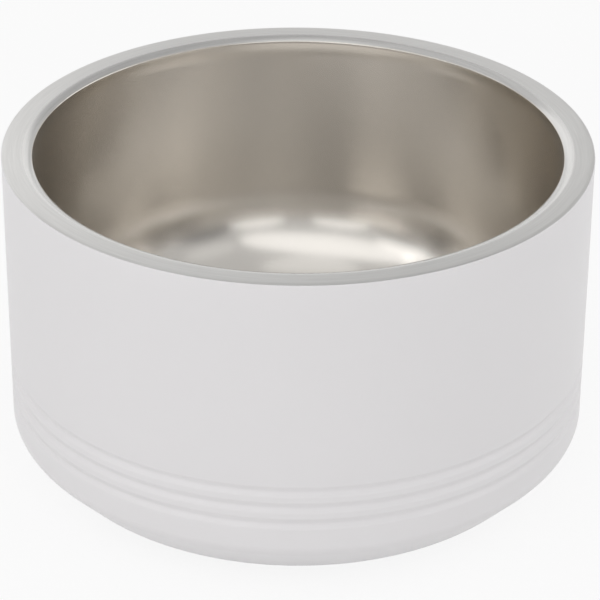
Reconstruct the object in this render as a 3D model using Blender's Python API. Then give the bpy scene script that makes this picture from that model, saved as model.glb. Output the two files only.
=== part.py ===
"""Double-wall insulated pet bowl, modelled as the turned pieces that it is welded together from.

Metres, +Z up. The origin is on the bowl's axis, at the height of the surface that it stands on.
"""

import math

import bmesh
import bpy

MM = 0.001

# Driving dimensions of the outside
OUTER_RADIUS = 78.0 * MM
METAL_HEIGHT = 89.8 * MM
FOOT_PROUD = 1.2 * MM
SHEET = 0.6 * MM

# The bevel at the foot of the wall: a knee, a straight slope and a round edge
KNEE_HEIGHT = 14.6 * MM
KNEE_RADIUS = 5.2 * MM
BEVEL_TURN = 43.7
EDGE_RADIUS = 11.7 * MM

# Rolled grooves, with heights above the bottom of the shell
GROOVE_COUNT = 3
GROOVE_TOP = 30.9 * MM
GROOVE_PITCH = 4.73 * MM
GROOVE_HALF_WIDTH = 1.8 * MM
GROOVE_DEPTH = 0.6 * MM

# The liner and its lip
LINER_RADIUS = 70.2 * MM
LINER_DEPTH = 71.0 * MM
LINER_FILLET = 26.0 * MM
LINER_TAPER = 2.0
LIP_THICKNESS = 0.9 * MM
LIP_INNER_RADIUS = 69.9 * MM
LIP_INNER_ROUND = 1.5 * MM
LIP_OUTER_ROUND = 0.4 * MM
LIP_PROUD = 0.3 * MM
LIP_STEP = 0.4 * MM

# The base, with heights above the bottom of the shell
RECESS_RADIUS = 53.0 * MM
RECESS_DEPTH = 3.6 * MM
LEDGE_RADIUS = 49.0 * MM
DISC_RADIUS = 51.4 * MM
RIDGE_RADIUS = 30.0 * MM
RIDGE_HALF_WIDTH = 4.0 * MM
RIDGE_HEIGHT = 1.0 * MM
PORT_RADIUS = 1.2 * MM
PORT_BOSS_RADIUS = 7.0 * MM
PORT_BOSS_HEIGHT = 1.6 * MM
SLOPE_RUN = 1.5 * MM
WELD_SIZE = 1.2 * MM
SEAL_RADIUS = 3.0 * MM
SEAL_THICKNESS = 0.9 * MM
CAP_RECESS = 1.2 * MM
CAP_FLANGE = 0.6 * MM

# The silicone foot ring and its adhesive
FOOT_INNER_RADIUS = 47.3 * MM
FOOT_WIDTH = 5.4 * MM
FOOT_HEIGHT = 3.0 * MM
FOOT_EDGE = 0.5 * MM
TREAD_COUNT = 2
TREAD_WIDTH = 0.6 * MM
TREAD_DEPTH = 0.5 * MM
TAPE_INSET = 1.2 * MM
TAPE_THICKNESS = 0.3 * MM

# The getter under the liner's floor
PILL_RADIUS = 4.0 * MM
PILL_THICKNESS = 2.5 * MM
PILL_EDGE = 0.4 * MM
CLIP_SHEET = 0.4 * MM
CLIP_WIDTH = 7.0 * MM
CLIP_FOOT = 4.3 * MM

# Clearance left between pieces that touch on the real object
GAP = 0.3 * MM

# Sides of the large and of the small round pieces
SIDES = 48
SMALL_SIDES = 24

# Heights that follow from the dimensions above
SHELL_BOTTOM = FOOT_PROUD
RIM_TOP = SHELL_BOTTOM + METAL_HEIGHT
LIP_UNDERSIDE = RIM_TOP - LIP_THICKNESS
LIP_RADIUS = OUTER_RADIUS - SHEET - GAP
WALL_TOP = RIM_TOP - LIP_PROUD
LINER_FLOOR = RIM_TOP - LINER_DEPTH
LEDGE_UNDERSIDE = SHELL_BOTTOM + RECESS_DEPTH
DISC_TOP = LEDGE_UNDERSIDE - GAP
DISC_BOTTOM = DISC_TOP - SHEET


def clear_scene():
    for old in list(bpy.data.objects):
        bpy.data.objects.remove(old, do_unlink=True)


def finish_of(name, colour, roughness, metallic):
    """A plain Principled material."""
    material = bpy.data.materials.new(name)
    material.use_nodes = True
    shader = material.node_tree.nodes["Principled BSDF"]
    shader.inputs["Base Color"].default_value = (*colour, 1.0)
    shader.inputs["Roughness"].default_value = roughness
    shader.inputs["Metallic"].default_value = metallic
    return material


def add_piece(name, mesh_maker, material):
    """Puts a finished bmesh into the scene as one named object."""
    bmesh.ops.recalc_face_normals(mesh_maker, faces=mesh_maker.faces)
    mesh = bpy.data.meshes.new(name)
    mesh_maker.to_mesh(mesh)
    mesh_maker.free()
    mesh.materials.append(material)
    mesh.shade_smooth()
    mesh.set_sharp_from_angle(angle=math.radians(30))
    piece = bpy.data.objects.new(name, mesh)
    bpy.context.scene.collection.objects.link(piece)
    return piece


def turned(name, outline, material, sides=SIDES):
    """A solid of revolution about Z from a closed outline of (radius, height) points."""
    maker = bmesh.new()
    points = [maker.verts.new((radius, 0.0, height)) for radius, height in outline]
    edges = [maker.edges.new((points[i - 1], points[i])) for i in range(len(points))]
    bmesh.ops.spin(
        maker,
        geom=points + edges,
        cent=(0.0, 0.0, 0.0),
        axis=(0.0, 0.0, 1.0),
        angle=math.tau,
        steps=sides,
        use_merge=True,
    )
    bmesh.ops.remove_doubles(maker, verts=maker.verts, dist=0.001 * MM)
    on_axis = [edge for edge in maker.edges if not edge.link_faces]
    bmesh.ops.delete(maker, geom=on_axis, context="EDGES")
    return add_piece(name, maker, material)


def arc(centre, radius, start, end, steps):
    """Points on a circle from one angle to another, both included, in degrees."""
    turns = [math.radians(start + (end - start) * i / steps) for i in range(steps + 1)]
    return [
        (centre[0] + radius * math.cos(turn), centre[1] + radius * math.sin(turn))
        for turn in turns
    ]


def groove_centres():
    return [SHELL_BOTTOM + GROOVE_TOP - i * GROOVE_PITCH for i in range(GROOVE_COUNT)]


def wall_radius(height):
    """The upright wall's outer radius, with the rolled grooves in it."""
    radius = OUTER_RADIUS
    for centre in groove_centres():
        across = (height - centre) / GROOVE_HALF_WIDTH
        if abs(across) < 1.0:
            radius -= GROOVE_DEPTH * math.cos(across * math.pi / 2) ** 2
    return radius


def grooved_wall(steps):
    """The wall from its top edge down past the lowest groove, as (radius, height) points."""
    heights = [WALL_TOP]
    for centre in groove_centres():
        for i in range(steps + 1):
            heights.append(centre + GROOVE_HALF_WIDTH * (1 - 2 * i / steps))
    return [(wall_radius(height), height) for height in heights]


def bevel_centres():
    """The centres of the knee and of the bottom edge, placed so that one slope touches both arcs."""
    turn = math.radians(BEVEL_TURN)
    knee = (OUTER_RADIUS - KNEE_RADIUS, SHELL_BOTTOM + KNEE_HEIGHT)
    edge_height = SHELL_BOTTOM + EDGE_RADIUS
    fall = knee[1] - edge_height + (EDGE_RADIUS - KNEE_RADIUS) * math.sin(turn)
    inset = fall * math.tan(turn) + (EDGE_RADIUS - KNEE_RADIUS) * math.cos(turn)
    return knee, (knee[0] - inset, edge_height)


def bevel(inset, knee_steps, edge_steps):
    """The knee, the slope and the bottom edge, moved in by an inset."""
    knee, edge = bevel_centres()
    points = arc(knee, KNEE_RADIUS - inset, 0.0, -BEVEL_TURN, knee_steps)
    return points + arc(edge, EDGE_RADIUS - inset, -BEVEL_TURN, -90.0, edge_steps)


def outer_shell():
    outside = grooved_wall(6) + bevel(0.0, 4, 5)
    outside += [
        (RECESS_RADIUS, SHELL_BOTTOM),
        (RECESS_RADIUS, LEDGE_UNDERSIDE),
        (LEDGE_RADIUS, LEDGE_UNDERSIDE),
    ]
    inside = [(radius - SHEET, height) for radius, height in grooved_wall(2)]
    inside += bevel(SHEET, 3, 4)
    inside += [
        (RECESS_RADIUS + SHEET, SHELL_BOTTOM + SHEET),
        (RECESS_RADIUS + SHEET, LEDGE_UNDERSIDE + SHEET),
        (LEDGE_RADIUS, LEDGE_UNDERSIDE + SHEET),
    ]
    white = finish_of("white_powder_coat", (0.72, 0.70, 0.71), 0.45, 0.0)
    turned("outer_shell", outside + inside[::-1], white)


def fillet_centre(wall_top):
    """The centre of the round between the liner's tapered wall and its floor."""
    taper = math.radians(LINER_TAPER)
    height = LINER_FLOOR + LINER_FILLET
    wall_foot = height - LINER_FILLET * math.sin(taper)
    inset = (wall_top - wall_foot) * math.tan(taper) + LINER_FILLET * math.cos(taper)
    return (LINER_RADIUS - inset, height)


def inner_bowl():
    lip_in = (LIP_INNER_RADIUS + LIP_INNER_ROUND, RIM_TOP - LIP_INNER_ROUND)
    wall_top = lip_in[1] - 2 * LIP_STEP
    fillet = fillet_centre(wall_top)
    lip_out = (LIP_RADIUS - LIP_OUTER_ROUND, RIM_TOP - LIP_OUTER_ROUND)
    outline = [(0.0, LINER_FLOOR)]
    outline += arc(fillet, LINER_FILLET, -90.0, -LINER_TAPER, 9)
    outline += [(LINER_RADIUS, wall_top), (LIP_INNER_RADIUS, lip_in[1] - LIP_STEP)]
    outline += arc(lip_in, LIP_INNER_ROUND, 180.0, 90.0, 4)
    outline += arc(lip_out, LIP_OUTER_ROUND, 90.0, 0.0, 3)
    outline += [(LIP_RADIUS, LIP_UNDERSIDE), (LINER_RADIUS + 2 * SHEET, LIP_UNDERSIDE)]
    outline += [(LINER_RADIUS + SHEET, LIP_UNDERSIDE - SHEET)]
    outline += arc(fillet, LINER_FILLET + SHEET, -LINER_TAPER, -90.0, 7)
    outline += [(0.0, LINER_FLOOR - SHEET)]
    satin = finish_of("satin_stainless", (0.48, 0.45, 0.41), 0.32, 1.0)
    turned("inner_bowl", outline, satin)


def rim_weld():
    """The root bead under the lip, in the corner that the lip makes with the shell."""
    corner = (LIP_RADIUS, LIP_UNDERSIDE - GAP)
    bead = finish_of("lip_weld_steel", (0.40, 0.38, 0.35), 0.4, 1.0)
    turned("rim_weld", [corner] + arc(corner, WELD_SIZE, 180.0, 270.0, 4), bead)


def base_weld():
    """The bead between the base disc's edge and the wall of the recess."""
    inner = DISC_RADIUS + GAP
    outer = RECESS_RADIUS - GAP
    outline = [(outer, DISC_BOTTOM - GAP), (outer, DISC_TOP), (inner, DISC_TOP), (inner, DISC_BOTTOM)]
    bead = finish_of("base_weld_steel", (0.40, 0.38, 0.35), 0.4, 1.0)
    turned("base_weld", outline, bead)


def base_disc():
    """The disc's underside from the port outwards, then the same line one sheet higher."""
    steps = [
        (PORT_RADIUS, PORT_BOSS_HEIGHT),
        (PORT_BOSS_RADIUS, PORT_BOSS_HEIGHT),
        (PORT_BOSS_RADIUS + SLOPE_RUN, 0.0),
        (RIDGE_RADIUS - RIDGE_HALF_WIDTH, 0.0),
        (RIDGE_RADIUS - RIDGE_HALF_WIDTH + SLOPE_RUN, RIDGE_HEIGHT),
        (RIDGE_RADIUS + RIDGE_HALF_WIDTH - SLOPE_RUN, RIDGE_HEIGHT),
        (RIDGE_RADIUS + RIDGE_HALF_WIDTH, 0.0),
        (DISC_RADIUS, 0.0),
    ]
    under = [(radius, DISC_BOTTOM + rise) for radius, rise in steps]
    over = [(radius, DISC_TOP + rise) for radius, rise in steps]
    steel = finish_of("mill_finish_steel", (0.50, 0.49, 0.47), 0.38, 1.0)
    turned("base_disc", under + over[::-1], steel)


def seal_glass():
    """A flat bead under the port, with a stem that stands in it."""
    top = DISC_BOTTOM + PORT_BOSS_HEIGHT - GAP
    stem = PORT_RADIUS - GAP
    outline = [(0.0, top - SEAL_THICKNESS)]
    outline += [(SEAL_RADIUS * 0.7, top - SEAL_THICKNESS * 0.8), (SEAL_RADIUS, top)]
    outline += [(stem, top), (stem, top + GAP + SHEET), (0.0, top + GAP + SHEET)]
    glass = finish_of("sealing_glass", (0.10, 0.09, 0.08), 0.15, 0.0)
    turned("seal_glass", outline, glass, SMALL_SIDES)


def base_cap():
    """The cover inside the foot ring, with a short flange turned up towards the base disc."""
    radius = FOOT_INNER_RADIUS - GAP
    low = SHELL_BOTTOM + CAP_RECESS
    outline = [
        (0.0, low),
        (radius - SHEET, low),
        (radius, low + SHEET),
        (radius, low + SHEET + CAP_FLANGE),
        (radius - SHEET, low + SHEET + CAP_FLANGE),
        (radius - SHEET, low + SHEET),
        (0.0, low + SHEET),
    ]
    steel = finish_of("brushed_cap_steel", (0.50, 0.49, 0.47), 0.3, 1.0)
    turned("base_cap", outline, steel)


def foot_ring():
    """The silicone ring, with round grooves across its tread."""
    outer = FOOT_INNER_RADIUS + FOOT_WIDTH
    outline = [(FOOT_INNER_RADIUS, FOOT_HEIGHT), (FOOT_INNER_RADIUS, FOOT_EDGE)]
    outline += [(FOOT_INNER_RADIUS + FOOT_EDGE, 0.0)]
    land = FOOT_WIDTH / (TREAD_COUNT + 1)
    for i in range(1, TREAD_COUNT + 1):
        left = FOOT_INNER_RADIUS + i * land - TREAD_WIDTH / 2
        right = left + TREAD_WIDTH
        outline += [(left, 0.0), (left, TREAD_DEPTH), (right, TREAD_DEPTH), (right, 0.0)]
    outline += [(outer - FOOT_EDGE, 0.0), (outer, FOOT_EDGE), (outer, FOOT_HEIGHT)]
    silicone = finish_of("black_silicone", (0.02, 0.02, 0.02), 0.6, 0.0)
    turned("foot_ring", outline, silicone)


def foot_tape():
    inner = FOOT_INNER_RADIUS + TAPE_INSET
    outer = FOOT_INNER_RADIUS + FOOT_WIDTH - TAPE_INSET
    low = FOOT_HEIGHT + GAP
    high = low + TAPE_THICKNESS
    tape = finish_of("adhesive_tape", (0.75, 0.73, 0.66), 0.7, 0.0)
    turned("foot_tape", [(inner, low), (outer, low), (outer, high), (inner, high)], tape)


def getter_pill():
    high = LINER_FLOOR - SHEET - GAP
    low = high - PILL_THICKNESS
    edge = PILL_RADIUS - PILL_EDGE
    outline = [(0.0, low), (edge, low), (PILL_RADIUS, low + PILL_EDGE)]
    outline += [(PILL_RADIUS, high - PILL_EDGE), (edge, high), (0.0, high)]
    pill = finish_of("sintered_getter", (0.12, 0.12, 0.12), 0.8, 0.6)
    turned("getter_pill", outline, pill, SMALL_SIDES)


def getter_clip():
    """A bent strap: two feet under the liner's floor and a pocket below the pill."""
    foot_top = LINER_FLOOR - SHEET - GAP
    pocket_top = foot_top - PILL_THICKNESS - GAP
    wall = PILL_RADIUS + GAP
    end = wall + CLIP_SHEET + CLIP_FOOT
    right = [(wall, pocket_top), (wall, foot_top), (end, foot_top), (end, foot_top - CLIP_SHEET)]
    right += [(wall + CLIP_SHEET, foot_top - CLIP_SHEET)]
    right += [(wall + CLIP_SHEET, pocket_top - CLIP_SHEET)]
    section = right + [(-across, height) for across, height in right[::-1]]
    maker = bmesh.new()
    near = [maker.verts.new((across, -CLIP_WIDTH / 2, height)) for across, height in section]
    strip = maker.faces.new(near)
    grown = bmesh.ops.extrude_face_region(maker, geom=[strip])
    far = [item for item in grown["geom"] if isinstance(item, bmesh.types.BMVert)]
    bmesh.ops.translate(maker, verts=far, vec=(0.0, CLIP_WIDTH, 0.0))
    steel = finish_of("spring_strip_steel", (0.50, 0.49, 0.47), 0.35, 1.0)
    add_piece("getter_clip", maker, steel)


def main():
    clear_scene()
    outer_shell()
    inner_bowl()
    rim_weld()
    base_weld()
    base_disc()
    seal_glass()
    base_cap()
    foot_ring()
    foot_tape()
    getter_pill()
    getter_clip()


main()
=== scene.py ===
"""Looks of a double-wall insulated pet bowl: white powder coat, bare steel lip, satin steel inside.

Metres, +Z up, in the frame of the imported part. The bowl stands on z = 0, with its axis on Z. Angles
among the values below are in degrees, unless they are turned to radians there.
"""

import math

import bmesh
import bpy
from mathutils import Matrix, Vector


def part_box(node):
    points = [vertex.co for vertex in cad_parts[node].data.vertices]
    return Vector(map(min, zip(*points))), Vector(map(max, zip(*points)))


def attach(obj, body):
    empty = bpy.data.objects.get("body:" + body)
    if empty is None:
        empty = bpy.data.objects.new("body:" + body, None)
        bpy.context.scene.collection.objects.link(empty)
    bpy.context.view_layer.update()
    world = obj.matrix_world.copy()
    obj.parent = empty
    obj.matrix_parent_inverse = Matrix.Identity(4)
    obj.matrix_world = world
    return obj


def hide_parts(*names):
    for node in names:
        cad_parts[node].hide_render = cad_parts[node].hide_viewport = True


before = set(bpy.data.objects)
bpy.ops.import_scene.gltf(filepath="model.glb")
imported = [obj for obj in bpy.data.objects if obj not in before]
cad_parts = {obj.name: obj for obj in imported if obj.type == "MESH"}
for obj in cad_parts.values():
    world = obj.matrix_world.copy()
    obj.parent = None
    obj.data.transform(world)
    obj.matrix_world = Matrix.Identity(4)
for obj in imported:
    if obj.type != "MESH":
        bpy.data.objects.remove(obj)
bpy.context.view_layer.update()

MM = 0.001

# Sizes read from the frame
OUTER_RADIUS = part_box("outer_shell")[1].x
SHELL_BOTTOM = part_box("outer_shell")[0].z
RIM_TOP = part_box("inner_bowl")[1].z
CAP_LOW, CAP_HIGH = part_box("base_cap")
FOOT_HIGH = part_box("foot_ring")[1]

# The outer wall
SHEET = 0.6 * MM
COAT_EDGE = 0.2 * MM
KNEE_HEIGHT = 14.6 * MM
KNEE_RADIUS = 5.2 * MM
BEVEL_TURN = 43.7
EDGE_RADIUS = 11.7 * MM
GROOVE_COUNT = 3
GROOVE_TOP = 30.9 * MM
GROOVE_PITCH = 4.73 * MM
GROOVE_HALF_WIDTH = 1.8 * MM
GROOVE_DEPTH = 0.6 * MM
RECESS_RADIUS = 53.0 * MM
RECESS_DEPTH = 3.6 * MM
LEDGE_RADIUS = 49.0 * MM

# The liner and its lip
LINER_RADIUS = 70.2 * MM
LINER_DEPTH = 71.0 * MM
LINER_FILLET = 26.0 * MM
LINER_TAPER = 2.0
# Heights above the floor, between which the press's smooth finish turns to the wall's brushing
PRESSED_BELOW = 16.0 * MM
BRUSHED_ABOVE = 50.0 * MM
LIP_THICKNESS = 0.9 * MM
LIP_INNER_RADIUS = 69.9 * MM
LIP_ROLL_RADIUS = 5.2 * MM
LIP_ROLL_TURN = 35.0
LIP_CORNER = 0.3 * MM
LIP_COLLAR_FOOT = 1.8 * MM
# Radii from which the lip is ground, and brushed
LIP_GROUND_FROM = 70.2 * MM
LIP_BRUSHED_FROM = 72.5 * MM
LIP_BRUSHED_EDGE = 0.1 * MM
LIP_STEP = 0.4 * MM
LIP_SHOULDER = 1.2 * MM
LIP_SHOULDER_END = 30.0
LIP_FALL = 0.13 * MM
LIP_LAND = 0.5 * MM
SEAM = 0.03 * MM
LIP_UNDERSIDE = RIM_TOP - LIP_THICKNESS
LINER_FLOOR = RIM_TOP - LINER_DEPTH
WALL_TOP = RIM_TOP - LIP_FALL - SEAM

# The foot ring
FOOT_INNER_RADIUS = 47.3 * MM
FOOT_EDGE = 0.5 * MM
TREAD_COUNT = 2
TREAD_WIDTH = 0.6 * MM
TREAD_DEPTH = 0.5 * MM
TREAD_ROUND = 0.15 * MM

# Sides of the turned pieces, fine enough for a clean reflection
SIDES = 240

# The camera, measured from the photograph's outlines: a long lens, a little above the rim
PHOTO_SIZE = 600
FOCAL_PIXELS = 2780.0
SENSOR_WIDTH = 36.0
CAMERA_RISE = math.radians(28.837)
CAMERA_ROLL = math.radians(0.396)
CAMERA_DISTANCE = 9.683 * OUTER_RADIUS
AIM = Vector((0.0094 * OUTER_RADIUS, 0.0, RIM_TOP - 0.6012 * OUTER_RADIUS))

# Plain light from all round, where white is 1, and the dim gaps between the lamps: the turn from +X
# round to +Y, the rise above level and the width of each gap, and the share of the light left in it
ROOM_LEVEL = 0.64
ROOM_GAPS = [
    (-43, 21, 38, 0.35),
    (-168, 17, 34, 0.35),
    (-142, 20, 32, 0.3),
    (60, 50, 60, 0.76),
]

# The lamps: turn and rise as above, distance, width and height in metres, and brightness
LAMPS = {
    "rear_softbox": (112, 24, 1.3, 1.60, 0.46, 0.38),
    "right_softbox": (17, 25, 1.2, 1.12, 0.46, 1.45),
    "left_softbox": (175, 42, 1.1, 0.91, 0.51, 0.5),
    "corner_softbox": (-150, 37, 1.2, 0.57, 0.28, 0.6),
    "high_softbox": (-110, 56, 1.0, 1.48, 0.52, 0.7),
    "top_softbox": (-135, 85, 1.2, 0.57, 0.57, 0.3),
    "left_strip": (-111, 23, 1.2, 0.57, 0.30, 0.9),
    "right_strip": (-69, 23, 1.2, 0.57, 0.30, 0.85),
    "tail_softbox": (-34, 48, 1.2, 0.50, 0.34, 0.2),
    "front_fill": (-128, 5, 1.2, 1.71, 0.28, 1.95),
    "right_fill": (-30, 3, 1.2, 1.14, 0.23, 1.45),
}

# The colour sockets of a Mix node, which share their names with others
COLOUR_A, COLOUR_B, COLOUR_OUT = 6, 7, 2


def linear(hex_colour):
    """An sRGB hex colour as linear red, green, blue and alpha."""
    parts = [int(hex_colour[i : i + 2], 16) / 255 for i in (1, 3, 5)]
    light = [p / 12.92 if p <= 0.04045 else ((p + 0.055) / 1.055) ** 2.4 for p in parts]
    return (*light, 1.0)


def add_node(tree, kind, inputs=(), **settings):
    """Adds a node with its settings, and fills its inputs, by name or in order, with values or links."""
    node = tree.nodes.new(kind)
    for name, value in settings.items():
        setattr(node, name, value)
    for name, value in inputs.items() if isinstance(inputs, dict) else enumerate(inputs):
        if isinstance(value, bpy.types.Node):
            value = value.outputs[0]
        if isinstance(value, bpy.types.NodeSocket):
            tree.links.new(value, node.inputs[name])
        else:
            node.inputs[name].default_value = value
    return node


# Geometry Nodes: the turned pieces and the rolled grooves

MATH = "ShaderNodeMath"
VECTOR_MATH = "ShaderNodeVectorMath"


def new_geometry_tree(name, sockets):
    """An empty tree with a geometry input and output and the named inputs."""
    tree = bpy.data.node_groups.new(name, "GeometryNodeTree")
    tree.interface.new_socket("Geometry", in_out="INPUT", socket_type="NodeSocketGeometry")
    for socket, kind in sockets.items():
        tree.interface.new_socket(socket, in_out="INPUT", socket_type=kind)
    tree.interface.new_socket("Geometry", in_out="OUTPUT", socket_type="NodeSocketGeometry")
    return tree, add_node(tree, "NodeGroupInput").outputs


def end_geometry_tree(tree, geometry, finish):
    """The end of every tree: real geometry with its material."""
    real = add_node(tree, "GeometryNodeRealizeInstances", [geometry])
    painted = add_node(tree, "GeometryNodeSetMaterial", {"Geometry": real, "Material": finish})
    add_node(tree, "NodeGroupOutput", [painted])


def turning_tree():
    """Turns a closed outline of points at (radius, 0, height) round Z, and welds its seams and poles."""
    sockets = {"Sides": "NodeSocketInt", "Weld Distance": "NodeSocketFloat", "Finish": "NodeSocketMaterial"}
    tree, given = new_geometry_tree("turned_piece", sockets)
    outline = given["Geometry"]
    size = add_node(tree, "GeometryNodeAttributeDomainSize", [outline], component="MESH")
    across = add_node(tree, MATH, [given["Sides"], 1.0], operation="ADD")
    along = add_node(tree, MATH, [size, 1.0], operation="ADD")
    grid = add_node(tree, "GeometryNodeMeshGrid", {"Vertices X": along, "Vertices Y": across})
    index = add_node(tree, "GeometryNodeInputIndex")
    middle = add_node(tree, MATH, [index, 0.5], operation="ADD")
    rows = add_node(tree, MATH, [middle, across], operation="DIVIDE")
    row = add_node(tree, MATH, [rows], operation="FLOOR")
    row_start = add_node(tree, MATH, [row, across], operation="MULTIPLY")
    step = add_node(tree, MATH, [index, row_start], operation="SUBTRACT")
    share = add_node(tree, MATH, [step, given["Sides"]], operation="DIVIDE")
    angle = add_node(tree, MATH, [share, math.tau], operation="MULTIPLY")
    picked = add_node(
        tree,
        "GeometryNodeSampleIndex",
        {
            "Geometry": outline,
            "Value": add_node(tree, "GeometryNodeInputPosition"),
            "Index": add_node(tree, MATH, [row, size], operation="MODULO"),
        },
        data_type="FLOAT_VECTOR",
        domain="POINT",
    )
    radius, _, height = add_node(tree, "ShaderNodeSeparateXYZ", [picked]).outputs
    cosine = add_node(tree, MATH, [angle], operation="COSINE")
    sine = add_node(tree, MATH, [angle], operation="SINE")
    place = add_node(
        tree,
        "ShaderNodeCombineXYZ",
        [
            add_node(tree, MATH, [radius, cosine], operation="MULTIPLY"),
            add_node(tree, MATH, [radius, sine], operation="MULTIPLY"),
            height,
        ],
    )
    turned = add_node(tree, "GeometryNodeSetPosition", {"Geometry": grid, "Position": place})
    welded = add_node(
        tree,
        "GeometryNodeMergeByDistance",
        {"Geometry": turned, "Distance": given["Weld Distance"]},
    )
    end_geometry_tree(tree, welded, given["Finish"])
    return tree


def grooving_tree():
    """Rolls evenly spaced grooves into a turned wall, with a smooth cosine section."""
    sockets = {
        "Top Groove": "NodeSocketFloat",
        "Pitch": "NodeSocketFloat",
        "Count": "NodeSocketInt",
        "Half Width": "NodeSocketFloat",
        "Depth": "NodeSocketFloat",
        "Finish": "NodeSocketMaterial",
    }
    tree, given = new_geometry_tree("rolled_grooves", sockets)
    place = add_node(tree, "GeometryNodeInputPosition")
    height = add_node(tree, "ShaderNodeSeparateXYZ", [place]).outputs["Z"]
    below_top = add_node(tree, MATH, [given["Top Groove"], height], operation="SUBTRACT")
    pitches = add_node(tree, MATH, [below_top, given["Pitch"]], operation="DIVIDE")
    nearest = add_node(tree, MATH, [pitches], operation="ROUND")
    last = add_node(tree, MATH, [given["Count"], 1.0], operation="SUBTRACT")
    groove = add_node(tree, "ShaderNodeClamp", {"Value": nearest, "Min": 0.0, "Max": last})
    drop = add_node(tree, MATH, [groove, given["Pitch"]], operation="MULTIPLY")
    away = add_node(tree, MATH, [below_top, drop], operation="SUBTRACT")
    share = add_node(tree, MATH, [away, given["Half Width"]], operation="DIVIDE")
    inside = add_node(tree, "ShaderNodeClamp", {"Value": share, "Min": -1.0, "Max": 1.0})
    turn = add_node(tree, MATH, [inside, math.pi], operation="MULTIPLY")
    swing = add_node(tree, MATH, [turn], operation="COSINE")
    section = add_node(tree, MATH, [swing, -0.5, -0.5], operation="MULTIPLY_ADD")
    pressed = add_node(tree, MATH, [section, given["Depth"]], operation="MULTIPLY")
    flat = add_node(tree, VECTOR_MATH, [place, (1.0, 1.0, 0.0)], operation="MULTIPLY")
    outward = add_node(tree, VECTOR_MATH, [flat], operation="NORMALIZE")
    shift = add_node(tree, VECTOR_MATH, {0: outward, "Scale": pressed}, operation="SCALE")
    rolled = add_node(tree, "GeometryNodeSetPosition", {"Geometry": given["Geometry"], "Offset": shift})
    end_geometry_tree(tree, rolled, given["Finish"])
    return tree


TURNING = turning_tree()
GROOVING = grooving_tree()


def apply_tree(piece, tree, values):
    """Puts a tree on a piece as a modifier, with its inputs set by their identifiers."""
    modifier = piece.modifiers.new(tree.name, "NODES")
    modifier.node_group = tree
    for item in tree.interface.items_tree:
        if item.in_out == "INPUT" and item.name in values:
            modifier[item.identifier] = values[item.name]


def make_plain(piece, sharp_angle):
    """Turns a piece's evaluated geometry into a plain mesh, facing outwards, with crisp corners."""
    graph = bpy.context.evaluated_depsgraph_get()
    mesh = bpy.data.meshes.new_from_object(piece.evaluated_get(graph))
    # The grid's own slot is empty
    mesh.materials.pop(index=0)
    piece.modifiers.clear()
    piece.data = mesh
    maker = bmesh.new()
    maker.from_mesh(mesh)
    bmesh.ops.dissolve_degenerate(maker, dist=0.0005 * MM, edges=maker.edges)
    bmesh.ops.recalc_face_normals(maker, faces=maker.faces)
    maker.to_mesh(mesh)
    maker.free()
    mesh.shade_smooth()
    mesh.set_sharp_from_angle(angle=math.radians(sharp_angle))


def turned_piece(name, outline, finish, grooves=None):
    """A turned piece from a closed outline of (radius, height) points, as a plain mesh."""
    mesh = bpy.data.meshes.new(name)
    mesh.from_pydata([(radius, 0.0, height) for radius, height in outline], [], [])
    piece = bpy.data.objects.new(name, mesh)
    bpy.context.scene.collection.objects.link(piece)
    apply_tree(piece, TURNING, {"Sides": SIDES, "Weld Distance": 0.001 * MM, "Finish": finish})
    if grooves:
        apply_tree(piece, GROOVING, {**grooves, "Finish": finish})
    make_plain(piece, sharp_angle=40)
    return piece


def arc(centre, radius, start, end, steps):
    """Points on a circle from one angle to another, both included, in degrees."""
    turns = [math.radians(start + (end - start) * i / steps) for i in range(steps + 1)]
    return [
        (centre[0] + radius * math.cos(turn), centre[1] + radius * math.sin(turn))
        for turn in turns
    ]


def line_to(outline, end, steps):
    """Adds points on a straight line from the outline's last point to an end."""
    start = outline[-1]
    for i in range(1, steps + 1):
        outline.append(tuple(a + (b - a) * i / steps for a, b in zip(start, end)))


# Materials


def new_finish(name):
    """An empty material, its tree, its Principled shader and the object coordinates."""
    finish = bpy.data.materials.new(name)
    finish.use_nodes = True
    tree = finish.node_tree
    place = add_node(tree, "ShaderNodeTexCoord").outputs["Object"]
    return finish, tree, tree.nodes["Principled BSDF"], place


def white_powder_coat():
    """Polyester powder baked on steel: an even, soft-sheen white with a fine orange peel."""
    finish, tree, shader, place = new_finish("baked_powder_coat")
    shader.inputs["Roughness"].default_value = 0.38
    drift = add_node(tree, "ShaderNodeTexNoise", {"Vector": place, "Scale": 1 / (35 * MM), "Detail": 2.0})
    tones = {"Factor": drift, COLOUR_A: linear("#E5E3E4"), COLOUR_B: linear("#E7E5E6")}
    tone = add_node(tree, "ShaderNodeMix", tones, data_type="RGBA")
    tree.links.new(tone.outputs[COLOUR_OUT], shader.inputs["Base Color"])
    peel = add_node(tree, "ShaderNodeTexNoise", {"Vector": place, "Scale": 1 / (0.9 * MM), "Detail": 2.0})
    bump = add_node(tree, "ShaderNodeBump", {"Height": peel, "Strength": 0.06, "Distance": 0.05 * MM})
    tree.links.new(bump.outputs[0], shader.inputs["Normal"])
    return finish


def brush_round(tree, shader, strength):
    """Steel with brushing round the axis that is too fine to show, but smears the light across it."""
    quarter_turn = 0.25
    shader.inputs["Metallic"].default_value = 1.0
    shader.inputs["Anisotropic"].default_value = strength
    shader.inputs["Anisotropic Rotation"].default_value = quarter_turn
    tangent = add_node(tree, "ShaderNodeTangent", direction_type="RADIAL", axis="Z")
    tree.links.new(tangent.outputs[0], shader.inputs["Tangent"])


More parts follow.
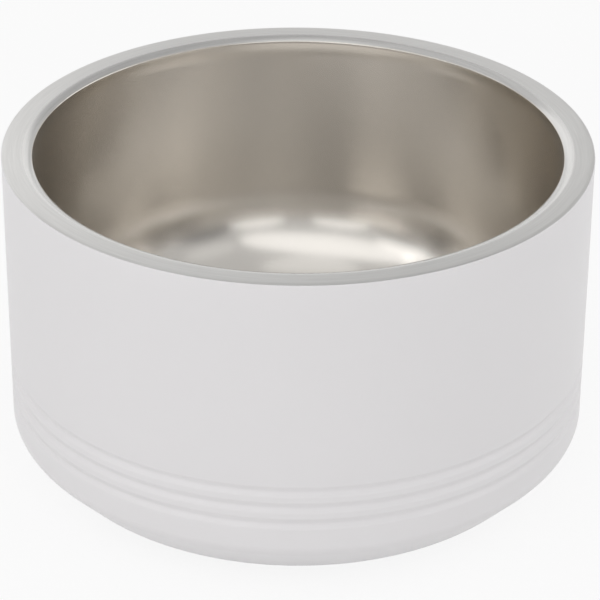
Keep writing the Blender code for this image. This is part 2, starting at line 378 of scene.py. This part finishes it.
def ring_streaks(tree, place, length, spacing):
    """The distance from the axis, and streaks round it, with their length at the bowl's edge and spacing."""
    flat = add_node(tree, VECTOR_MATH, [place, (1.0, 1.0, 0.0)], operation="MULTIPLY")
    reach = add_node(tree, VECTOR_MATH, [flat], operation="LENGTH").outputs["Value"]
    outward = add_node(tree, VECTOR_MATH, [flat], operation="NORMALIZE")
    along = add_node(tree, VECTOR_MATH, {0: outward, "Scale": OUTER_RADIUS / length}, operation="SCALE")
    across = add_node(tree, MATH, [reach, 1 / spacing], operation="MULTIPLY")
    streaks = add_node(
        tree,
        "ShaderNodeTexNoise",
        {"Vector": along, "W": across, "Scale": 1.0, "Detail": 3.0},
        noise_dimensions="4D",
    )
    return reach, streaks


def satin_stainless():
    """Drawn 18/8 stainless: warm grey, with a wall brushed satin and a smoother floor, as pressed."""
    floor_roughness, wall_roughness, spread = 0.18, 0.25, 0.02
    finish, tree, shader, place = new_finish("satin_drawn_steel")
    brush_round(tree, shader, strength=0.8)
    # The grain is drawn coarser than the real one, to show
    grain = add_node(tree, "ShaderNodeTexNoise", {"Vector": place, "Scale": 1 / (0.7 * MM), "Detail": 3.0})
    tones = {"Factor": grain, COLOUR_A: linear("#D9D5CF"), COLOUR_B: linear("#DFDBD5")}
    tone = add_node(tree, "ShaderNodeMix", tones, data_type="RGBA")
    tree.links.new(tone.outputs[COLOUR_OUT], shader.inputs["Base Color"])
    height = add_node(tree, "ShaderNodeSeparateXYZ", [place]).outputs["Z"]
    brushed = add_node(
        tree,
        "ShaderNodeMapRange",
        {
            "Value": height,
            "From Min": LINER_FLOOR + PRESSED_BELOW,
            "From Max": LINER_FLOOR + BRUSHED_ABOVE,
            "To Min": floor_roughness,
            "To Max": wall_roughness,
        },
    )
    rough = add_node(tree, MATH, [grain, spread, brushed], operation="MULTIPLY_ADD")
    tree.links.new(rough.outputs[0], shader.inputs["Roughness"])
    bump = add_node(tree, "ShaderNodeBump", {"Height": grain, "Strength": 0.05, "Distance": 0.03 * MM})
    tree.links.new(bump.outputs[0], shader.inputs["Normal"])
    return finish


def brushed_lip():
    """The same steel where the lip is ground and brushed round, with a smoother rolled edge."""
    roll_roughness, flat_roughness, spread = 0.19, 0.31, 0.06
    finish, tree, shader, place = new_finish("brushed_lip_steel")
    brush_round(tree, shader, strength=0.7)
    # The streaks are drawn coarser than real ones, to show
    reach, streaks = ring_streaks(tree, place, length=14 * MM, spacing=0.45 * MM)
    tones = {"Factor": streaks, COLOUR_A: linear("#CFCECC"), COLOUR_B: linear("#E7E6E4")}
    tone = add_node(tree, "ShaderNodeMix", tones, data_type="RGBA")
    tree.links.new(tone.outputs[COLOUR_OUT], shader.inputs["Base Color"])
    brushed = add_node(
        tree,
        "ShaderNodeMapRange",
        {
            "Value": reach,
            "From Min": LIP_BRUSHED_FROM - LIP_BRUSHED_EDGE,
            "From Max": LIP_BRUSHED_FROM + LIP_BRUSHED_EDGE,
            "To Min": roll_roughness,
            "To Max": flat_roughness,
        },
    )
    rough = add_node(tree, MATH, [streaks, spread, brushed], operation="MULTIPLY_ADD")
    tree.links.new(rough.outputs[0], shader.inputs["Roughness"])
    return finish


def brushed_cover():
    """Sheet steel brushed on a turning pad: fine rings that draw the light out into a fan."""
    finish, tree, shader, place = new_finish("round_brushed_steel")
    brush_round(tree, shader, strength=0.7)
    # The streaks are drawn coarser than real ones, to show
    _, streaks = ring_streaks(tree, place, length=20 * MM, spacing=0.5 * MM)
    tones = {"Factor": streaks, COLOUR_A: linear("#B0AEAA"), COLOUR_B: linear("#CCCAC6")}
    tone = add_node(tree, "ShaderNodeMix", tones, data_type="RGBA")
    tree.links.new(tone.outputs[COLOUR_OUT], shader.inputs["Base Color"])
    rough = add_node(tree, "ShaderNodeMapRange", {"Value": streaks, "To Min": 0.3, "To Max": 0.42})
    tree.links.new(rough.outputs[0], shader.inputs["Roughness"])
    return finish


def sheet_steel(name, colour, roughness):
    """Plain sheet steel of the hidden pieces, with a faint rolled grain."""
    spread = 0.06
    finish, tree, shader, place = new_finish(name)
    shader.inputs["Metallic"].default_value = 1.0
    shader.inputs["Base Color"].default_value = linear(colour)
    grain = add_node(tree, "ShaderNodeTexNoise", {"Vector": place, "Scale": 1 / (1.5 * MM), "Detail": 4.0})
    rough = add_node(
        tree,
        "ShaderNodeMapRange",
        {"Value": grain, "To Min": roughness - spread, "To Max": roughness + spread},
    )
    tree.links.new(rough.outputs[0], shader.inputs["Roughness"])
    return finish


def fine_grained(name, colour, roughness, grain_size, grain_height):
    """A moulded, pressed or fused material with a fine grain in its surface."""
    spread = 0.08
    finish, tree, shader, place = new_finish(name)
    shader.inputs["Base Color"].default_value = linear(colour)
    grain = add_node(tree, "ShaderNodeTexNoise", {"Vector": place, "Scale": 1 / grain_size, "Detail": 3.0})
    rough = add_node(
        tree,
        "ShaderNodeMapRange",
        {"Value": grain, "To Min": roughness - spread, "To Max": roughness + spread},
    )
    tree.links.new(rough.outputs[0], shader.inputs["Roughness"])
    bump = add_node(tree, "ShaderNodeBump", {"Height": grain, "Strength": 0.4, "Distance": grain_height})
    tree.links.new(bump.outputs[0], shader.inputs["Normal"])
    return finish


# Pieces


def place_piece(piece, node):
    """Rides a finished piece on the bowl in place of its CAD node."""
    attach(piece, "root")
    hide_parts(node)


def bevel_centres():
    """The centres of the knee and of the bottom edge, placed so that one slope touches both arcs."""
    turn = math.radians(BEVEL_TURN)
    knee = (OUTER_RADIUS - KNEE_RADIUS, SHELL_BOTTOM + KNEE_HEIGHT)
    edge_height = SHELL_BOTTOM + EDGE_RADIUS
    fall = knee[1] - edge_height + (EDGE_RADIUS - KNEE_RADIUS) * math.sin(turn)
    inset = fall * math.tan(turn) + (EDGE_RADIUS - KNEE_RADIUS) * math.cos(turn)
    return knee, (knee[0] - inset, edge_height)


def coated_wall():
    """The outer wall: upright, with rolled grooves, a bevelled foot and a recess for the foot ring."""
    grooves_high = SHELL_BOTTOM + GROOVE_TOP + GROOVE_HALF_WIDTH
    recess_top = SHELL_BOTTOM + RECESS_DEPTH
    knee, edge = bevel_centres()
    fold = (RECESS_RADIUS + SHEET, SHELL_BOTTOM + SHEET)
    outline = arc((OUTER_RADIUS - COAT_EDGE, WALL_TOP - COAT_EDGE), COAT_EDGE, 90.0, 0.0, steps=5)
    line_to(outline, (OUTER_RADIUS, grooves_high), steps=8)
    line_to(outline, (OUTER_RADIUS, knee[1]), steps=72)
    outline += arc(knee, KNEE_RADIUS, 0.0, -BEVEL_TURN, steps=16)[1:]
    outline += arc(edge, EDGE_RADIUS, -BEVEL_TURN, -90.0, steps=20)
    outline += arc(fold, SHEET, -90.0, -180.0, steps=5)
    outline += [(RECESS_RADIUS, recess_top), (LEDGE_RADIUS, recess_top), (LEDGE_RADIUS, recess_top + SHEET)]
    outline += [(RECESS_RADIUS + SHEET, recess_top + SHEET), fold]
    outline += arc(edge, EDGE_RADIUS - SHEET, -90.0, -BEVEL_TURN, steps=8)
    outline += arc(knee, KNEE_RADIUS - SHEET, -BEVEL_TURN, 0.0, steps=6)
    line_to(outline, (OUTER_RADIUS - SHEET, grooves_high), steps=36)
    outline += [(OUTER_RADIUS - SHEET, WALL_TOP)]
    grooves = {
        "Top Groove": SHELL_BOTTOM + GROOVE_TOP,
        "Pitch": GROOVE_PITCH,
        "Count": GROOVE_COUNT,
        "Half Width": GROOVE_HALF_WIDTH,
        "Depth": GROOVE_DEPTH,
    }
    piece = turned_piece("white_outer_wall", outline, white_powder_coat(), grooves)
    place_piece(piece, "outer_shell")


def fillet_centre(wall_top):
    """The centre of the round between the liner's tapered wall and its floor."""
    taper = math.radians(LINER_TAPER)
    height = LINER_FLOOR + LINER_FILLET
    wall_foot = height - LINER_FILLET * math.sin(taper)
    inset = (wall_top - wall_foot) * math.tan(taper) + LINER_FILLET * math.cos(taper)
    return (LINER_RADIUS - inset, height)


def lip_roll():
    """The lip's inner edge, from a tight corner over the collar up the roll to the flat top."""
    end = 90.0 + LIP_ROLL_TURN
    turn = math.radians(end)
    inset = LIP_CORNER * (1 + math.cos(turn))
    roll = (LIP_INNER_RADIUS + inset - LIP_ROLL_RADIUS * math.cos(turn), RIM_TOP - LIP_ROLL_RADIUS)
    corner_height = roll[1] + (LIP_ROLL_RADIUS - LIP_CORNER) * math.sin(turn)
    corner = (LIP_INNER_RADIUS + LIP_CORNER, corner_height)
    tight = arc(corner, LIP_CORNER, 180.0, end, steps=8)
    return tight + arc(roll, LIP_ROLL_RADIUS, end, 90.0, steps=20)[1:]


def lip_shoulder(reach):
    """The lip's outer edge, which falls a little towards the coated wall, out to its reach."""
    end = math.radians(LIP_SHOULDER_END)
    points = []
    for across, up in arc((0.0, 0.0), 1.0, 90.0, LIP_SHOULDER_END, steps=8):
        inset = LIP_SHOULDER * (1 - across / math.cos(end))
        fall = LIP_FALL * (1 - up) / (1 - math.sin(end))
        points.append((reach - inset, RIM_TOP - fall))
    return points


def steel_liner():
    """The bowl's inside and its lip, which is brushed on top."""
    collar_foot = RIM_TOP - LIP_COLLAR_FOOT
    wall_top = collar_foot - LIP_STEP
    fillet = fillet_centre(wall_top)
    lip_reach = OUTER_RADIUS - COAT_EDGE
    outline = [(0.0, LINER_FLOOR)]
    line_to(outline, (fillet[0], LINER_FLOOR), steps=6)
    outline += arc(fillet, LINER_FILLET, -90.0, -LINER_TAPER, steps=48)[1:]
    line_to(outline, (LINER_RADIUS, wall_top), steps=12)
    outline += [(LIP_INNER_RADIUS, collar_foot)]
    outline += lip_roll()
    line_to(outline, (lip_reach - LIP_SHOULDER, RIM_TOP), steps=4)
    outline += lip_shoulder(lip_reach)
    outline += [(lip_reach - LIP_LAND, RIM_TOP - LIP_FALL), (lip_reach - LIP_LAND, LIP_UNDERSIDE)]
    outline += [(LINER_RADIUS + 2 * SHEET, LIP_UNDERSIDE), (LINER_RADIUS + SHEET, LIP_UNDERSIDE - SHEET)]
    outline += arc(fillet, LINER_FILLET + SHEET, -LINER_TAPER, -90.0, steps=24)
    outline += [(0.0, LINER_FLOOR - SHEET)]
    piece = turned_piece("steel_liner", outline, satin_stainless())
    lip_slot = len(piece.data.materials)
    piece.data.materials.append(brushed_lip())
    for face in piece.data.polygons:
        on_top = face.center.z > LIP_UNDERSIDE
        if on_top and math.hypot(face.center.x, face.center.y) > LIP_GROUND_FROM:
            face.material_index = lip_slot
    place_piece(piece, "inner_bowl")


def base_cover():
    """The cover in the base, with a short flange turned up at its edge."""
    radius, low, high = CAP_HIGH.x, CAP_LOW.z, CAP_HIGH.z
    turn = (radius - SHEET, low + SHEET)
    outline = [(0.0, low)]
    line_to(outline, (turn[0], low), steps=8)
    outline += arc(turn, SHEET, -90.0, 0.0, steps=8)[1:]
    outline += [(radius, high), (radius - SHEET, high), turn, (0.0, low + SHEET)]
    piece = turned_piece("brushed_base_cover", outline, brushed_cover())
    place_piece(piece, "base_cap")


def silicone_foot():
    """The ring that the bowl stands on, with soft-edged grooves in its tread."""
    outer, height = FOOT_HIGH.x, FOOT_HIGH.z
    inner = FOOT_INNER_RADIUS
    land = (outer - inner) / (TREAD_COUNT + 1)
    outline = [(inner, height)]
    outline += arc((inner + FOOT_EDGE, FOOT_EDGE), FOOT_EDGE, 180.0, 270.0, steps=6)
    for i in range(1, TREAD_COUNT + 1):
        left = inner + i * land - TREAD_WIDTH / 2
        right = left + TREAD_WIDTH
        outline += arc((left - TREAD_ROUND, TREAD_ROUND), TREAD_ROUND, -90.0, 0.0, steps=3)
        outline += [(left, TREAD_DEPTH), (right, TREAD_DEPTH)]
        outline += arc((right + TREAD_ROUND, TREAD_ROUND), TREAD_ROUND, 180.0, 270.0, steps=3)
    outline += arc((outer - FOOT_EDGE, FOOT_EDGE), FOOT_EDGE, -90.0, 0.0, steps=6)
    outline += [(outer, height)]
    finish = fine_grained("black_silicone", "#242424", 0.6, 0.6 * MM, 0.02 * MM)
    piece = turned_piece("silicone_foot_ring", outline, finish)
    place_piece(piece, "foot_ring")


def dress_hidden_nodes():
    """Finishes of the pieces inside the walls, which keep their CAD shapes."""
    weld = sheet_steel("tinted_weld_steel", "#A39A8E", 0.4)
    sheet = sheet_steel("mill_finish_steel", "#BDBBB7", 0.38)
    finishes = {
        "rim_weld": weld,
        "base_weld": weld,
        "base_disc": sheet,
        "getter_clip": sheet,
        "seal_glass": fine_grained("fused_sealing_glass", "#3A3733", 0.2, 0.8 * MM, 0.01 * MM),
        "getter_pill": fine_grained("sintered_getter", "#4A4846", 0.8, 0.3 * MM, 0.05 * MM),
        "foot_tape": fine_grained("acrylic_tape", "#DAD6CA", 0.7, 1.0 * MM, 0.02 * MM),
    }
    for node, finish in finishes.items():
        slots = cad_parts[node].data.materials
        slots.clear()
        slots.append(finish)


# Studio


def camera():
    """The photograph's view, as a camera at the measured distance, rise and roll."""
    data = bpy.data.cameras.new("photo_camera")
    data.sensor_width = SENSOR_WIDTH
    data.lens = FOCAL_PIXELS / PHOTO_SIZE * SENSOR_WIDTH
    ahead = Vector((0.0, math.cos(CAMERA_RISE), -math.sin(CAMERA_RISE)))
    side = Vector((1.0, 0.0, 0.0))
    up = side.cross(ahead)
    turned_side = math.cos(CAMERA_ROLL) * side + math.sin(CAMERA_ROLL) * up
    turned_up = math.cos(CAMERA_ROLL) * up - math.sin(CAMERA_ROLL) * side
    place = Matrix((turned_side, turned_up, -ahead)).transposed().to_4x4()
    place.translation = AIM - ahead * CAMERA_DISTANCE
    seen = bpy.data.objects.new("photo_camera", data)
    seen.matrix_world = place
    bpy.context.scene.collection.objects.link(seen)
    bpy.context.scene.camera = seen


def seen_directly(tree):
    """1 for rays from the camera or off a mirror-like surface, and 0 for light that falls on things."""
    path = add_node(tree, "ShaderNodeLightPath").outputs
    mirror = add_node(tree, MATH, [path["Is Glossy Ray"], path["Is Transmission Ray"]], operation="MAXIMUM")
    return add_node(tree, MATH, [path["Is Camera Ray"], mirror], operation="MAXIMUM")


def direction(turn, rise):
    """The way to a place at a turn from +X round to +Y and a rise above level, both in degrees."""
    turn, rise = math.radians(turn), math.radians(rise)
    return Vector((math.cos(rise) * math.cos(turn), math.cos(rise) * math.sin(turn), math.sin(rise)))


def white_room(level, gaps):
    """Plain white light from all round, dimmer in the gaps between the lamps.

    A gap has a turn and a rise, a width in degrees, and the share of the light that is left in it.
    """
    world = bpy.data.worlds.new("white_room")
    bpy.context.scene.world = world
    world.use_nodes = True
    tree = world.node_tree
    background = tree.nodes["Background"]
    background.inputs["Color"].default_value = linear("#FFFFFF")
    ahead = add_node(tree, "ShaderNodeTexCoord").outputs["Generated"]
    strength = level
    for turn, rise, width, left in gaps:
        middle = direction(turn, rise)
        facing = add_node(tree, VECTOR_MATH, [ahead, middle], operation="DOT_PRODUCT").outputs["Value"]
        share = add_node(
            tree,
            "ShaderNodeMapRange",
            {
                "Value": facing,
                "From Min": math.cos(math.radians(width / 2)),
                "From Max": math.cos(math.radians(width / 4)),
                "To Min": 1.0,
                "To Max": left,
            },
            interpolation_type="SMOOTHSTEP",
        )
        strength = add_node(tree, MATH, [strength, share], operation="MULTIPLY")
    tree.links.new(strength.outputs[0], background.inputs["Strength"])


def sweep_finish(whiteness):
    """Matte white board that takes the bowl's shadow, and shows partly as plain white where it is seen."""
    finish = bpy.data.materials.new("white_sweep")
    finish.use_nodes = True
    tree = finish.node_tree
    board = tree.nodes["Principled BSDF"]
    board.inputs["Base Color"].default_value = linear("#E8E8E8")
    board.inputs["Roughness"].default_value = 0.9
    white = add_node(tree, "ShaderNodeEmission", {"Color": linear("#FFFFFF"), "Strength": 1.0})
    share = add_node(tree, MATH, [seen_directly(tree), whiteness], operation="MULTIPLY")
    mixed = add_node(tree, "ShaderNodeMixShader", [share, board, white])
    tree.links.new(mixed.outputs[0], tree.nodes["Material Output"].inputs["Surface"])
    return finish


def white_sweep(reach, bend, board, whiteness):
    """A round floor whose edge bends up all round, so that no horizon shows."""
    outline = [(0.0, 0.0)]
    outline += arc((reach, bend), bend, -90.0, 0.0, steps=24)
    outline += arc((reach, bend), bend + board, 0.0, -90.0, steps=24)
    outline += [(0.0, -board)]
    turned_piece("studio_sweep", outline, sweep_finish(whiteness))


def softbox(name, turn, rise, distance, width, height, radiance):
    """A soft light aimed at the mouth, whose brightness, where white is 1, doesn't change with its size."""
    data = bpy.data.lights.new(name, "AREA")
    data.shape = "ELLIPSE"
    data.size = width
    data.size_y = height
    area = math.pi / 4 * width * height
    data.energy = radiance * math.pi * area
    lamp = bpy.data.objects.new(name, data)
    away = direction(turn, rise)
    lamp.location = Vector((0.0, 0.0, RIM_TOP)) + away * distance
    lamp.rotation_euler = away.to_track_quat("Z", "Y").to_euler()
    # Low views from other sides look towards some lamps
    lamp.visible_camera = False
    bpy.context.scene.collection.objects.link(lamp)


def studio():
    """A white room with a bent floor and soft lamps, as the photograph's reflections show them."""
    white_room(ROOM_LEVEL, ROOM_GAPS)
    white_sweep(reach=1.3, bend=0.35, board=0.01, whiteness=0.88)
    for name, lamp in LAMPS.items():
        softbox(name, *lamp)
    # The liner mirrors itself many times over
    bpy.context.scene.cycles.glossy_bounces = 12
    bpy.context.scene.view_settings.view_transform = "Standard"


coated_wall()
steel_liner()
base_cover()
silicone_foot()
dress_hidden_nodes()
camera()
studio()
